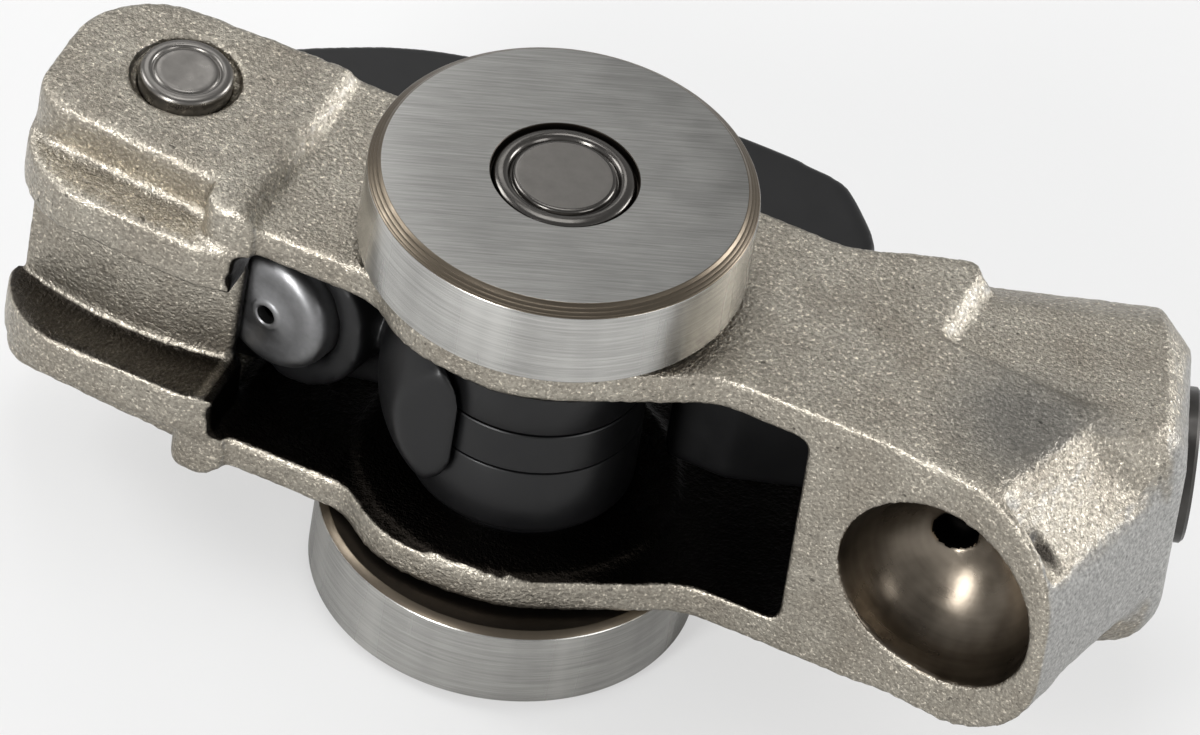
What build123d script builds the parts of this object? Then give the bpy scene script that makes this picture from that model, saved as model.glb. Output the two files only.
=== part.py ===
from build123d import *
from math import sin, cos, tan, radians, pi
import os

os.makedirs("parts", exist_ok=True)

# Frame: origin on the roller axle at mid width, +X to the ball socket, +Y to the cam, +Z along the axle
# All lengths in millimetres, all angles in degrees

# Rollers and cross shaft
ROLLER_R = 8.5
ROLLER_OUT = 11.9
ROLLER_IN = 7.45
ROLLER_CHAMFER_R = 0.55
ROLLER_CHAMFER_Z = 0.45
SHAFT_R = 3.0
STAKE_RING_R = 3.25
STAKE_DISC_R = 2.25
RUN_FIT = 0.02

# Bearing in the body walls
NEEDLE_R = 0.5
NEEDLE_COUNT = 20
HUB_R = 5.03
SPIGOT_R = 4.5
HUB_END = 4.75
SPACER_HALF = 1.06
GROOVE = 0.08
GROOVE_DEPTH = 0.35
WASHER_T = 0.25

# Body walls
WALL_OUT = 7.1
WALL_IN = 5.4
BELLY_IN = 5.1
RIM_Y = -2.85
WINDOW_LEFT = -12.3
WINDOW_RIGHT = 13.7
EAR_OUT = 7.9
EAR_END_X = -11.6
FLANGE_IN = 3.2
FLANGE_OUT = 5.5
PIN_X = -18.1
PIN_Y = 1.0
PIN_R = 2.06
PIN_PROUD = 0.34
PIN_RING_R = 2.46

# Socket block and latch
SOCKET_X = 20.6
SOCKET_Y = -3.65
SOCKET_R = 4.75
OIL_HOLE_R = 0.95
OIL_HOLE_X = 19.75
OIL_PASSAGE_R = 0.7
NOSE_END_X = 26.15
NOSE_BOTTOM_Y = -4.2
NOSE_CORNER_R = 5.6
TOWER_CORNER_R = 3.4
NOSE_TILT = 11.0
NOSE_DROOP_R = 32.0
NOSE_DROOP_X = 17.0
TOWER_HALF = 6.3
CREASE_Y = 4.6
STEP_X = 16.15
LATCH_X = 26.88
LATCH_Y = 10.19
LATCH_TILT = 22.0
CROWN_R = 6.6
PLUG_R = 3.4
PLUG_T = 1.6
END_CHAMFER = 1.5
END_CHAMFER_DEPTH = 1.7
SCOOP_R = 12.0
SCOOP_DEPTH = 0.25
CAST_R = 0.35
SEAT_GAP = 0.02
PLUG_PROUD = 0.6
LATCH_R = 3.2
NOSE_R = 2.1
NOSE_BORE_DEPTH = 10.1
LATCH_GAP = 0.03
TOE_OFFSET = 0.75

# Slider arm
ARM_HALF = 5.0
PAD_R = 40.0
PAD_TOP_X = 3.7
PAD_TOP_Y = 13.67
BARREL_R = 3.2
SLOT_GAP = 0.27
SLOT_R = HUB_R + SLOT_GAP
SLOT_RISE = 3.65
HOOK_R = SLOT_R + 1.4
HOOK_HALF = 3.85
HOOK_EDGE_R = SLOT_R + 0.3
HOOK_BOTTOM_Y = -SLOT_R - 0.05
HOOK_TIP_X = -1.2
HOOK_TIP_R = 2.7
TOE_X = 12.85
TOE_TOP_Y = 7.3

# Cup and lost-motion spring
CUP_X = -11.52
CUP_Y = -2.74
CUP_LEAN = 12.8
CUP_R = 2.97
CUP_WALL = 0.45
CUP_SHOULDER = 0.85
CUP_LENGTH = 5.2
VENT_R = 0.5
HOUSING_R = 4.3
HOUSING_BACK = 1.1
SPRING_WIRE = 0.7
SPRING_COIL_R = 2.1
SPRING_TURNS = 5

# Latch working plane: origin at the plug's outer face, normal pointing out of the bore
lx = cos(radians(LATCH_TILT))
ly = sin(radians(LATCH_TILT))
latch_plane = Plane(origin=(LATCH_X, LATCH_Y, 0), x_dir=(0, 0, -1), z_dir=(lx, ly, 0))

# Cup working plane: origin at the closed end's centre, normal pointing into the arm
kx = sin(radians(CUP_LEAN))
ky = cos(radians(CUP_LEAN))
cup_plane = Plane(origin=(CUP_X, CUP_Y, 0), x_dir=(0, 0, 1), z_dir=(kx, ky, 0))

# End plane of the nose, leaning outwards as it rises
nx = sin(radians(NOSE_TILT))
ny = cos(radians(NOSE_TILT))
nose_plane = Plane(origin=(NOSE_END_X, NOSE_BOTTOM_Y, 0), x_dir=(ny, -nx, 0), z_dir=(nx, ny, 0))
face_plane = Plane(origin=(LATCH_X, LATCH_Y, 0), x_dir=(lx, ly, 0), z_dir=(-ly, lx, 0))

# Cutter for the rounder lower corners and their scoops, ending level with the crease
with BuildPart() as corner_cutter:
    with BuildSketch(nose_plane) as lower_corners:
        for side in (-1, 1):
            with BuildLine():
                c1 = RadiusArc(
                    (-NOSE_CORNER_R, side * WALL_OUT),
                    (0, side * (WALL_OUT - NOSE_CORNER_R)),
                    side * NOSE_CORNER_R,
                )
                Polyline(c1 @ 1, (2, side * 1.5), (2, side * 9), (-NOSE_CORNER_R, side * 9), c1 @ 0)
            make_face()
    extrude(amount=25, both=True)
    for side in (-1, 1):
        scoop_plane = Plane(
            origin=(NOSE_END_X - 2.1, -3.2, side * 5.3),
            x_dir=(0.7, 0, side * -0.71),
            z_dir=(nx, ny, 0),
        )
        with BuildSketch(scoop_plane) as scoop:
            with Locations((0, -side * (SCOOP_R - SCOOP_DEPTH))):
                Circle(SCOOP_R)
        extrude(amount=10)
    split(bisect_by=Plane.XZ.offset(-CREASE_Y), keep=Keep.TOP)

# Body casting
with BuildPart() as follower_body:
    # Socket block, side view with the drooping rim
    with BuildSketch(Plane.XY) as block_side:
        with BuildLine():
            b1 = Line((WINDOW_RIGHT, RIM_Y), (NOSE_DROOP_X, RIM_Y))
            b2 = JernArc(start=b1 @ 1, tangent=(1, 0), radius=NOSE_DROOP_R, arc_size=-22)
            Polyline(b2 @ 1, (32, 2), (32, 15), (WINDOW_RIGHT, 15), (WINDOW_RIGHT, RIM_Y))
        make_face()
    extrude(amount=WALL_OUT, both=True)

    # Sides of the block: flared below the crease, upright on the tower
    with BuildSketch(Plane.YZ.offset(WINDOW_RIGHT - 1)) as block_section:
        with BuildLine():
            Polyline(
                (-9, -WALL_OUT),
                (-3.4, -WALL_OUT + 0.05),
                (CREASE_Y, -TOWER_HALF),
                (16, -TOWER_HALF),
                (16, TOWER_HALF),
                (CREASE_Y, TOWER_HALF),
                (-3.4, WALL_OUT - 0.05),
                (-9, WALL_OUT),
                (-9, -WALL_OUT),
            )
        make_face()
    extrude(amount=25, mode=Mode.INTERSECT)

    # Wedges that carry the wall's full width on to the end, up to the crease
    with BuildSketch(Plane.XZ.offset(-CREASE_Y)) as wedge:
        for side in (-1, 1):
            with BuildLine():
                Polyline(
                    (STEP_X - 1, side * 5),
                    (STEP_X - 1, side * WALL_OUT),
                    (STEP_X + 1.2, side * WALL_OUT),
                    (STEP_X + 9.5, side * TOWER_HALF),
                    (STEP_X + 9.5, side * 5),
                    (STEP_X - 1, side * 5),
                )
            make_face()
    extrude(amount=CREASE_Y - RIM_Y)

    # Round crown about the latch axis
    with BuildSketch(latch_plane.offset(4)) as crown_section:
        Circle(CROWN_R)
        with Locations((0, -9)):
            Rectangle(2 * WALL_OUT + 1, 18)
    extrude(amount=-30, mode=Mode.INTERSECT)

    # Convex end, lower part
    with BuildSketch(nose_plane) as nose_outline:
        with Locations((-20, 0)):
            Rectangle(40, 2 * WALL_OUT)
        fillet(nose_outline.vertices().group_by(Axis.X)[-1], radius=TOWER_CORNER_R)
    extrude(amount=25, both=True, mode=Mode.INTERSECT)

    # Convex end, upper part square to the latch
    with BuildSketch(face_plane) as face_outline:
        with Locations((-20 - PLUG_PROUD, 0)):
            Rectangle(40, 2 * WALL_OUT)
        fillet(face_outline.vertices().group_by(Axis.X)[-1], radius=TOWER_CORNER_R)
    extrude(amount=25, both=True, mode=Mode.INTERSECT)

    # Bevelled rim of the end face, following the crown
    for side in (-1, 1):
        with BuildSketch(Plane(origin=(LATCH_X, LATCH_Y, 0), x_dir=(lx, ly, 0), z_dir=(0, 0, 1))) as rim_cut:
            with BuildLine():
                Polyline(
                    (-PLUG_PROUD - END_CHAMFER, CROWN_R),
                    (-PLUG_PROUD, CROWN_R - END_CHAMFER_DEPTH),
                    (2, CROWN_R - END_CHAMFER_DEPTH),
                    (2, CROWN_R + 2),
                    (-PLUG_PROUD - END_CHAMFER, CROWN_R + 2),
                    (-PLUG_PROUD - END_CHAMFER, CROWN_R),
                )
            make_face()
        revolve(axis=Axis((LATCH_X, LATCH_Y, 0), (side * lx, side * ly, 0)), revolution_arc=100, mode=Mode.SUBTRACT)

    # Rounder corners below the crease, each with a shallow scoop above the socket's collar
    add(corner_cutter.part, mode=Mode.SUBTRACT)

    # Side walls with the belly under the axle
    with BuildSketch(Plane.XY) as wall_side:
        with BuildLine():
            w1 = Line((-13, -5.2), (-6.6, -5.2))
            w2 = Spline(
                w1 @ 1,
                (-4.9, -6.0),
                (-3.3, -6.95),
                (-0.8, -7.25),
                (2.2, -6.95),
                (5.2, -5.45),
                (8.0, -3.8),
                (11.0, RIM_Y),
                tangents=((1, 0), (1, 0)),
            )
            w3 = Line(w2 @ 1, (STEP_X - 0.2, RIM_Y))
            w4 = Line(w3 @ 1, (STEP_X, 5))
            w5 = Line(w4 @ 1, (STEP_X + 0.2, 9.1))
            w6 = ThreePointArc(w5 @ 1, (STEP_X - 0.1, 9.5), (STEP_X - 0.55, 9.62))
            w7 = Line(w6 @ 1, (15.2, 9.5))
            w8 = Spline(
                w7 @ 1,
                (14.2, 9.08),
                (12.6, 8.36),
                (11.3, 7.78),
                (9.9, 7.5),
                tangents=((-1, -0.45), (-1, 0)),
            )
            Polyline(w8 @ 1, (-3.5, 7.5), (-8.6, 5.7), (-13, 5.7), (-13, -5.2))
        make_face()
    extrude(amount=WALL_OUT, both=True)

    # Sloping step from the walls down to the narrower tower
    with BuildSketch(Plane.XZ.offset(-9.2)) as step_slope:
        for side in (-1, 1):
            with BuildLine():
                Polyline(
                    (STEP_X - 1, side * 5),
                    (STEP_X - 1, side * WALL_OUT),
                    (STEP_X + 0.15, side * WALL_OUT),
                    (STEP_X + 0.8, side * TOWER_HALF),
                    (STEP_X + 0.8, side * 5),
                    (STEP_X - 1, side * 5),
                )
            make_face()
    extrude(amount=9.2 - CREASE_Y + 0.1)

    # Ears round the hinge pin, ending in a sloping step on the wall
    with BuildSketch(Plane.XY) as ear_side:
        with BuildLine():
            e1 = Line((EAR_END_X, -5.6), (EAR_END_X, 5.45))
            e2 = Line(e1 @ 1, (-19.25, 5.2))
            e3 = ThreePointArc(e2 @ 1, (-22.3, 3.95), (-23.55, 0.9))
            e4 = Line(e3 @ 1, (-23.5, -1.6))
            e5 = ThreePointArc(e4 @ 1, (-23.1, -2.95), (-22.0, -3.6))
            e6 = Polyline(e5 @ 1, (-14.2, -4.15), (-14.2, -4.8))
            e7 = ThreePointArc(e6 @ 1, (-13.93, -5.43), (-13.3, -5.7))
            Line(e7 @ 1, e1 @ 0)
        make_face()
    extrude(amount=EAR_OUT, both=True)
    with BuildSketch(Plane.XZ.offset(-7)) as step_cut:
        with BuildLine():
            Polyline(
                (EAR_END_X - 0.75, EAR_OUT),
                (EAR_END_X, WALL_OUT),
                (EAR_END_X + 2, WALL_OUT),
                (EAR_END_X + 2, EAR_OUT + 1),
                (EAR_END_X - 0.75, EAR_OUT + 1),
                (EAR_END_X - 0.75, EAR_OUT),
            )
        make_face()
        mirror(about=Plane.XZ)
    extrude(amount=14, mode=Mode.SUBTRACT)

    # Cast radii on the outer edges of the ears
    for side in (-1, 1):
        ear_edges = follower_body.edges().filter_by_position(Axis.Z, side * EAR_OUT - 0.01, side * EAR_OUT + 0.01)
        fillet(ear_edges, radius=CAST_R)

    # Guide flanges and the crowned valve pad between them
    with BuildSketch(Plane.XY) as flange_side:
        with BuildLine():
            f1 = Line((WINDOW_LEFT, 0), (WINDOW_LEFT, -5.75))
            f2 = Polyline(f1 @ 1, (-13.9, -6.1), (-20.2, -5.95))
            f3 = ThreePointArc(f2 @ 1, (-22.2, -4.95), (-23.45, -2.9))
            Polyline(f3 @ 1, (-23.6, -1.2), (-23.6, 0), (WINDOW_LEFT, 0))
        make_face()
    extrude(amount=FLANGE_OUT, both=True)
    with BuildSketch(Plane.XY) as pad_gap:
        with BuildLine():
            g1 = ThreePointArc((-23.9, -2.2), (-18.2, -3.55), (-12.85, -3.0))
            g2 = ThreePointArc(g1 @ 1, (-12.62, -2.77), (-12.75, -2.5))
            Polyline(g2 @ 1, (-12, -2.4), (-12, -8), (-25, -8), (-25, -2.2), (-23.9, -2.2))
        make_face()
    extrude(amount=FLANGE_IN, both=True, mode=Mode.SUBTRACT)

    # Space between the ears, down to the web the cup stands on
    seat = CUP_Y - tan(radians(CUP_LEAN)) * (-12.6 - CUP_X) - SEAT_GAP
    seat_left = CUP_Y - tan(radians(CUP_LEAN)) * (-14.9 - CUP_X) - SEAT_GAP
    with BuildSketch(Plane.XY) as ear_space:
        with BuildLine():
            Polyline(
                (-26, -2.45),
                (-16.2, -2.45),
                (-14.9, seat_left),
                (-12.6, seat),
                (WINDOW_LEFT + 0.1, seat),
                (WINDOW_LEFT + 0.1, 9),
                (-26, 9),
                (-26, -2.45),
            )
        make_face()
    extrude(amount=WALL_IN, both=True, mode=Mode.SUBTRACT)

    # Window through both rims
    with BuildSketch(Plane.XZ.offset(-16)) as window:
        with Locations(((WINDOW_LEFT + WINDOW_RIGHT) / 2, 0)):
            RectangleRounded(WINDOW_RIGHT - WINDOW_LEFT, 2 * WALL_IN, 0.6)
    extrude(amount=30, mode=Mode.SUBTRACT)

    # Thicker belly inside the window
    for side in (-1, 1):
        with BuildSketch(Plane.XY.offset(side * BELLY_IN)) as belly:
            Circle(7.1)
        extrude(amount=side * (WALL_IN - BELLY_IN + 0.2))

    # Bores for the bearing spigots and the hinge pin
    with BuildSketch(Plane.XY) as cross_bores:
        Circle(SPIGOT_R)
        with Locations((PIN_X, PIN_Y)):
            Circle(PIN_R)
    extrude(amount=EAR_OUT, both=True, mode=Mode.SUBTRACT)
    for side in (-1, 1):
        with BuildSketch(Plane.XY.offset(side * EAR_OUT)) as pin_ring:
            with Locations((PIN_X, PIN_Y)):
                Circle(PIN_RING_R)
        extrude(amount=-side * 0.5, mode=Mode.SUBTRACT)

    # Ball socket with its softened rim
    with BuildSketch(Plane.XY) as socket:
        with Locations((SOCKET_X, SOCKET_Y)):
            Circle(SOCKET_R)
        with Locations((SOCKET_X - 10, SOCKET_Y)):
            Rectangle(20, 30, mode=Mode.SUBTRACT)
    revolve(axis=Axis((SOCKET_X, SOCKET_Y, 0), (0, 1, 0)), mode=Mode.SUBTRACT)

    # Oil hole from the socket and its passage to the back of the latch bore
    with BuildSketch(Plane.XZ.offset(1)) as oil_hole:
        with Locations((OIL_HOLE_X, 0)):
            Circle(OIL_HOLE_R)
    extrude(amount=-3.2, mode=Mode.SUBTRACT)
    oil_plane = Plane(origin=(OIL_HOLE_X, 1.6, 0), z_dir=(24.9 - OIL_HOLE_X, 6.6 - 1.6, 0))
    with BuildSketch(oil_plane) as oil_passage:
        Circle(OIL_PASSAGE_R)
    extrude(amount=7.6, mode=Mode.SUBTRACT)

    # Latch bore, nose bore and plug seat
    with BuildSketch(latch_plane) as latch_bore:
        Circle(LATCH_R)
    extrude(amount=-NOSE_BORE_DEPTH, mode=Mode.SUBTRACT)
    with BuildSketch(latch_plane) as nose_bore:
        Circle(NOSE_R + LATCH_GAP)
    extrude(amount=-16, mode=Mode.SUBTRACT)
    with BuildSketch(latch_plane) as plug_seat:
        Circle(PLUG_R)
    extrude(amount=-PLUG_T, mode=Mode.SUBTRACT)

follower_body.part.label = "follower_body"
export_step(follower_body.part, "parts/follower_body.step")

# Slider arm: hook first, then the beam, housing and barrel round it
with BuildPart() as slider_arm:
    # Hook round the hub, rounded across its width
    with BuildSketch(Plane.XZ) as hook_section:
        with BuildLine():
            h1 = Line((SLOT_R - 0.1, -HOOK_HALF), (HOOK_EDGE_R - 0.2, -HOOK_HALF))
            h2 = ThreePointArc(h1 @ 1, (HOOK_R, 0), (HOOK_EDGE_R - 0.2, HOOK_HALF))
            Polyline(h2 @ 1, (SLOT_R - 0.1, HOOK_HALF), (SLOT_R - 0.1, -HOOK_HALF))
        make_face()
    revolve(axis=Axis.Z)
    with BuildSketch(Plane.XY.offset(-8)) as hook_trim:
        with Locations((0, HOOK_BOTTOM_Y - 5)):
            Rectangle(20, 10)
        with Locations((0, 8)):
            Rectangle(20, 10)
    extrude(amount=16, mode=Mode.SUBTRACT)
    with BuildSketch(Plane.XZ) as hook_plan:
        with Locations((HOOK_TIP_X - 6, 0)):
            Rectangle(12, 2 * HOOK_HALF)
        fillet(hook_plan.vertices().group_by(Axis.X)[-1], radius=HOOK_TIP_R)
    extrude(amount=9, both=True, mode=Mode.INTERSECT)

    # Beam under the pad with the latch toe at its end
    toe_drop = tan(radians(LATCH_TILT))
    toe_y = LATCH_Y - toe_drop * (LATCH_X - TOE_X) + TOE_OFFSET / lx
    with BuildSketch(Plane.XY) as beam:
        with BuildLine():
            p1 = Spline(
                (-15.6, 8.55),
                (-12.1, 10.8),
                (-5.6, 12.75),
                (PAD_TOP_X, PAD_TOP_Y),
                (8.0, 13.4),
                tangents=((0.82, 0.57), (1, -0.13)),
            )
            p2 = Spline(p1 @ 1, (8.7, 13.0), (9.8, 11.95), (11.15, 10.15), tangents=((1, -0.3), (0.5, -1)))
            p3 = Polyline(
                p2 @ 1,
                (11.3, TOE_TOP_Y),
                (TOE_X, TOE_TOP_Y),
                (TOE_X, toe_y),
                (TOE_X - 4.6, toe_y - 4.6 * toe_drop),
                (5.0, toe_y - 4.6 * toe_drop),
                (5.0, 5.2),
                (-6.4, 5.2),
                (-6.4, 1.0),
                (-14.5, -1.15),
                (-17.6, -1.9),
                (-20.6, 3.0),
                (-16.9, 7.4),
                (-15.6, 8.55),
            )
        make_face()
    extrude(amount=ARM_HALF, both=True)

    # Housing of the lost-motion spring
    with BuildSketch(cup_plane.offset(HOUSING_BACK)) as housing:
        Circle(HOUSING_R)
    extrude(amount=10.5)

    # Hinge barrel
    with BuildSketch(Plane.XY) as barrel:
        with Locations((PIN_X, PIN_Y)):
            Circle(BARREL_R)
    extrude(amount=ARM_HALF + 0.2, both=True)

    # Slot that lets the arm drop over the hub
    with BuildSketch(Plane.XY) as slot:
        Circle(SLOT_R)
        with Locations((-0.16, SLOT_RISE)):
            Circle(SLOT_R)
        with Locations((0.3, SLOT_RISE / 2)):
            Rectangle(2 * SLOT_R, SLOT_RISE)
    extrude(amount=ARM_HALF + 1, both=True, mode=Mode.SUBTRACT)

    # Relief for the web below, room for the latch nose, and the two bores
    with BuildSketch(Plane.XY) as web_relief:
        with BuildLine():
            Polyline((-22, -2.6), (-17.4, -2.3), (-14.5, -1.15), (-11.2, -1.4), (-11.2, -5), (-22, -5), (-22, -2.6))
        make_face()
    extrude(amount=ARM_HALF + 1, both=True, mode=Mode.SUBTRACT)
    with BuildSketch(Plane.XY) as nose_room:
        with BuildLine():
            Polyline((9.8, TOE_TOP_Y), (14, TOE_TOP_Y), (14, 14), (11.2, 14), (9.8, 12), (9.8, TOE_TOP_Y))
        make_face()
    extrude(amount=NOSE_R + 0.4, both=True, mode=Mode.SUBTRACT)
    with BuildSketch(cup_plane) as cup_bore:
        Circle(CUP_R + RUN_FIT)
    extrude(amount=9.6, mode=Mode.SUBTRACT)
    with BuildSketch(Plane.XY) as arm_bore:
        with Locations((PIN_X, PIN_Y)):
            Circle(PIN_R + RUN_FIT)
    extrude(amount=ARM_HALF + 1, both=True, mode=Mode.SUBTRACT)

slider_arm.part.label = "slider_arm"
export_step(slider_arm.part, "parts/slider_arm.step")

# Staked hinge pin
with BuildPart() as hinge_pin:
    with BuildSketch(Plane.XY) as pin_round:
        with Locations((PIN_X, PIN_Y)):
            Circle(PIN_R)
    extrude(amount=EAR_OUT + PIN_PROUD, both=True)
    chamfer(hinge_pin.edges().filter_by(GeomType.CIRCLE), length=0.22)
    for side in (-1, 1):
        with BuildSketch(Plane.XY.offset(side * (EAR_OUT + PIN_PROUD))) as pin_groove:
            with Locations((PIN_X, PIN_Y)):
                Circle(1.6)
                Circle(1.36, mode=Mode.SUBTRACT)
        extrude(amount=-side * 0.2, taper=20, mode=Mode.SUBTRACT)

hinge_pin.part.label = "hinge_pin"
export_step(hinge_pin.part, "parts/hinge_pin.step")

# Cross shaft with staked ends
with BuildPart() as roller_shaft:
    with BuildSketch(Plane.XZ) as shaft_half:
        with BuildLine():
            Polyline(
                (0, -ROLLER_OUT),
                (STAKE_DISC_R, -ROLLER_OUT),
                (STAKE_DISC_R + 0.18, -ROLLER_OUT + 0.3),
                (STAKE_DISC_R + 0.42, -ROLLER_OUT + 0.12),
                (SHAFT_R - 0.12, -ROLLER_OUT + 0.12),
                (SHAFT_R, -ROLLER_OUT + 0.45),
                (SHAFT_R, ROLLER_OUT - 0.45),
                (SHAFT_R - 0.12, ROLLER_OUT - 0.12),
                (STAKE_DISC_R + 0.42, ROLLER_OUT - 0.12),
                (STAKE_DISC_R + 0.18, ROLLER_OUT - 0.3),
                (STAKE_DISC_R, ROLLER_OUT),
                (0, ROLLER_OUT),
                (0, -ROLLER_OUT),
            )
        make_face()
    revolve(axis=Axis.Z)

roller_shaft.part.label = "roller_shaft"
export_step(roller_shaft.part, "parts/roller_shaft.step")


def roller_points(side):
    out = side * ROLLER_OUT
    inner = side * ROLLER_IN
    return [
        (SHAFT_R, inner),
        (ROLLER_R - 0.28, inner),
        (ROLLER_R, inner + side * 0.28),
        (ROLLER_R, out - side * ROLLER_CHAMFER_Z),
        (ROLLER_R - ROLLER_CHAMFER_R, out),
        (STAKE_RING_R, out),
        (SHAFT_R, out - side * 0.4),
        (SHAFT_R, inner),
    ]


# Outer rollers
with BuildPart() as roller_upper:
    with BuildSketch(Plane.XZ) as roller_upper_half:
        with BuildLine():
            Polyline(*[(x, -z) for x, z in roller_points(-1)])
        make_face()
    revolve(axis=Axis.Z)

roller_upper.part.label = "roller_upper"
export_step(roller_upper.part, "parts/roller_upper.step")

with BuildPart() as roller_lower:
    with BuildSketch(Plane.XZ) as roller_lower_half:
        with BuildLine():
            Polyline(*roller_points(-1))
        make_face()
    revolve(axis=Axis.Z)

roller_lower.part.label = "roller_lower"
export_step(roller_lower.part, "parts/roller_lower.step")


def ring_points(side):
    near = side * (SPACER_HALF + GROOVE)
    end = side * HUB_END
    bore = SHAFT_R + 2 * NEEDLE_R + 2 * RUN_FIT
    return [
        (bore, near),
        (HUB_R - 0.12, near),
        (HUB_R, near + side * 0.12),
        (HUB_R, end - side * 0.35),
        (HUB_R - 0.35, end),
        (SPIGOT_R, end),
        (SPIGOT_R, side * (WALL_OUT - 0.05)),
        (bore, side * (WALL_OUT - 0.05)),
        (bore, near),
    ]


# Bearing rings pressed into the walls
with BuildPart() as bearing_ring_upper:
    with BuildSketch(Plane.XZ) as ring_upper_half:
        with BuildLine():
            Polyline(*ring_points(1))
        make_face()
    revolve(axis=Axis.Z)

bearing_ring_upper.part.label = "bearing_ring_upper"
export_step(bearing_ring_upper.part, "parts/bearing_ring_upper.step")

with BuildPart() as bearing_ring_lower:
    with BuildSketch(Plane.XZ) as ring_lower_half:
        with BuildLine():
            Polyline(*ring_points(-1))
        make_face()
    revolve(axis=Axis.Z)

bearing_ring_lower.part.label = "bearing_ring_lower"
export_step(bearing_ring_lower.part, "parts/bearing_ring_lower.step")

# Spacer between the rings, its end collars thinner so that two grooves show
with BuildPart() as hub_spacer:
    with BuildSketch(Plane.XZ) as spacer_half:
        with BuildLine():
            Polyline(
                (SHAFT_R + 0.3, -SPACER_HALF - GROOVE),
                (HUB_R - GROOVE_DEPTH, -SPACER_HALF - GROOVE),
                (HUB_R - GROOVE_DEPTH, -SPACER_HALF),
                (HUB_R, -SPACER_HALF),
                (HUB_R, SPACER_HALF),
                (HUB_R - GROOVE_DEPTH, SPACER_HALF),
                (HUB_R - GROOVE_DEPTH, SPACER_HALF + GROOVE),
                (SHAFT_R + 0.3, SPACER_HALF + GROOVE),
                (SHAFT_R + 0.3, -SPACER_HALF - GROOVE),
            )
        make_face()
    revolve(axis=Axis.Z)

hub_spacer.part.label = "hub_spacer"
export_step(hub_spacer.part, "parts/hub_spacer.step")

# Needle rows
needle_start = SPACER_HALF + GROOVE + 0.1
needle_length = WALL_OUT - 0.15 - needle_start
needle_pitch = SHAFT_R + RUN_FIT + NEEDLE_R
with BuildPart() as needles_upper:
    with BuildSketch(Plane.XY.offset(needle_start)) as needle_row_upper:
        with PolarLocations(needle_pitch, NEEDLE_COUNT):
            Circle(NEEDLE_R)
    extrude(amount=needle_length)

needles_upper.part.label = "needles_upper"
export_step(needles_upper.part, "parts/needles_upper.step")

with BuildPart() as needles_lower:
    with BuildSketch(Plane.XY.offset(-needle_start)) as needle_row_lower:
        with PolarLocations(needle_pitch, NEEDLE_COUNT):
            Circle(NEEDLE_R)
    extrude(amount=-needle_length)

needles_lower.part.label = "needles_lower"
export_step(needles_lower.part, "parts/needles_lower.step")

# Thrust washers between wall and roller
with BuildPart() as thrust_washer_upper:
    with BuildSketch(Plane.XY.offset(WALL_OUT)) as washer_upper:
        Circle(6.2)
        Circle(SHAFT_R + 0.1, mode=Mode.SUBTRACT)
    extrude(amount=WASHER_T)

thrust_washer_upper.part.label = "thrust_washer_upper"
export_step(thrust_washer_upper.part, "parts/thrust_washer_upper.step")

with BuildPart() as thrust_washer_lower:
    with BuildSketch(Plane.XY.offset(-WALL_OUT)) as washer_lower:
        Circle(6.2)
        Circle(SHAFT_R + 0.1, mode=Mode.SUBTRACT)
    extrude(amount=-WASHER_T)

thrust_washer_lower.part.label = "thrust_washer_lower"
export_step(thrust_washer_lower.part, "parts/thrust_washer_lower.step")

# Drawn cup with a vent
with BuildPart() as spring_cup:
    with BuildSketch(cup_plane) as cup_round:
        Circle(CUP_R)
    extrude(amount=CUP_LENGTH)
    fillet(spring_cup.edges().filter_by(GeomType.CIRCLE).sort_by(Axis.Y)[0], radius=CUP_SHOULDER)
    with BuildSketch(cup_plane.offset(CUP_WALL)) as cup_inside:
        Circle(CUP_R - CUP_WALL)
    extrude(amount=CUP_LENGTH, mode=Mode.SUBTRACT)
    with BuildSketch(cup_plane) as vent_lip:
        Circle(VENT_R + 0.2)
    extrude(amount=-0.08)
    with BuildSketch(cup_plane.offset(-1)) as vent:
        Circle(VENT_R)
    extrude(amount=3, mode=Mode.SUBTRACT)

spring_cup.part.label = "spring_cup"
export_step(spring_cup.part, "parts/spring_cup.step")

# Lost-motion spring between the cup's floor and the housing
spring_length = 9.6 - CUP_WALL - SPRING_WIRE
with BuildPart() as lost_motion_spring:
    with BuildLine():
        coil = Helix(
            pitch=spring_length / SPRING_TURNS,
            height=spring_length,
            radius=SPRING_COIL_R,
            center=(CUP_X + kx * (CUP_WALL + SPRING_WIRE / 2), CUP_Y + ky * (CUP_WALL + SPRING_WIRE / 2), 0),
            direction=(kx, ky, 0),
        )
    with BuildSketch(Plane(origin=coil @ 0, z_dir=coil % 0)) as spring_wire:
        RegularPolygon(SPRING_WIRE / 2, 6)
    sweep(is_frenet=True)

lost_motion_spring.part.label = "lost_motion_spring"
export_step(lost_motion_spring.part, "parts/lost_motion_spring.step")

# Latch pin: piston, neck and a nose with a flat for the toe
LATCH_BACK = 1.9
PISTON_LENGTH = 4.0
NOSE_TIP = 14.05
with BuildPart() as latch_pin:
    with BuildSketch(latch_plane.offset(-LATCH_BACK)) as piston:
        Circle(LATCH_R - RUN_FIT)
    extrude(amount=-PISTON_LENGTH)
    with BuildSketch(latch_plane.offset(-LATCH_BACK)) as nose:
        Circle(NOSE_R)
    extrude(amount=-(NOSE_TIP - LATCH_BACK))
    with BuildSketch(latch_plane.offset(-NOSE_TIP)) as nose_flat:
        with Locations((0, TOE_OFFSET - 0.03 + 2)):
            Rectangle(6, 4)
    extrude(amount=3.2, mode=Mode.SUBTRACT)

latch_pin.part.label = "latch_pin"
export_step(latch_pin.part, "parts/latch_pin.step")

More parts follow.
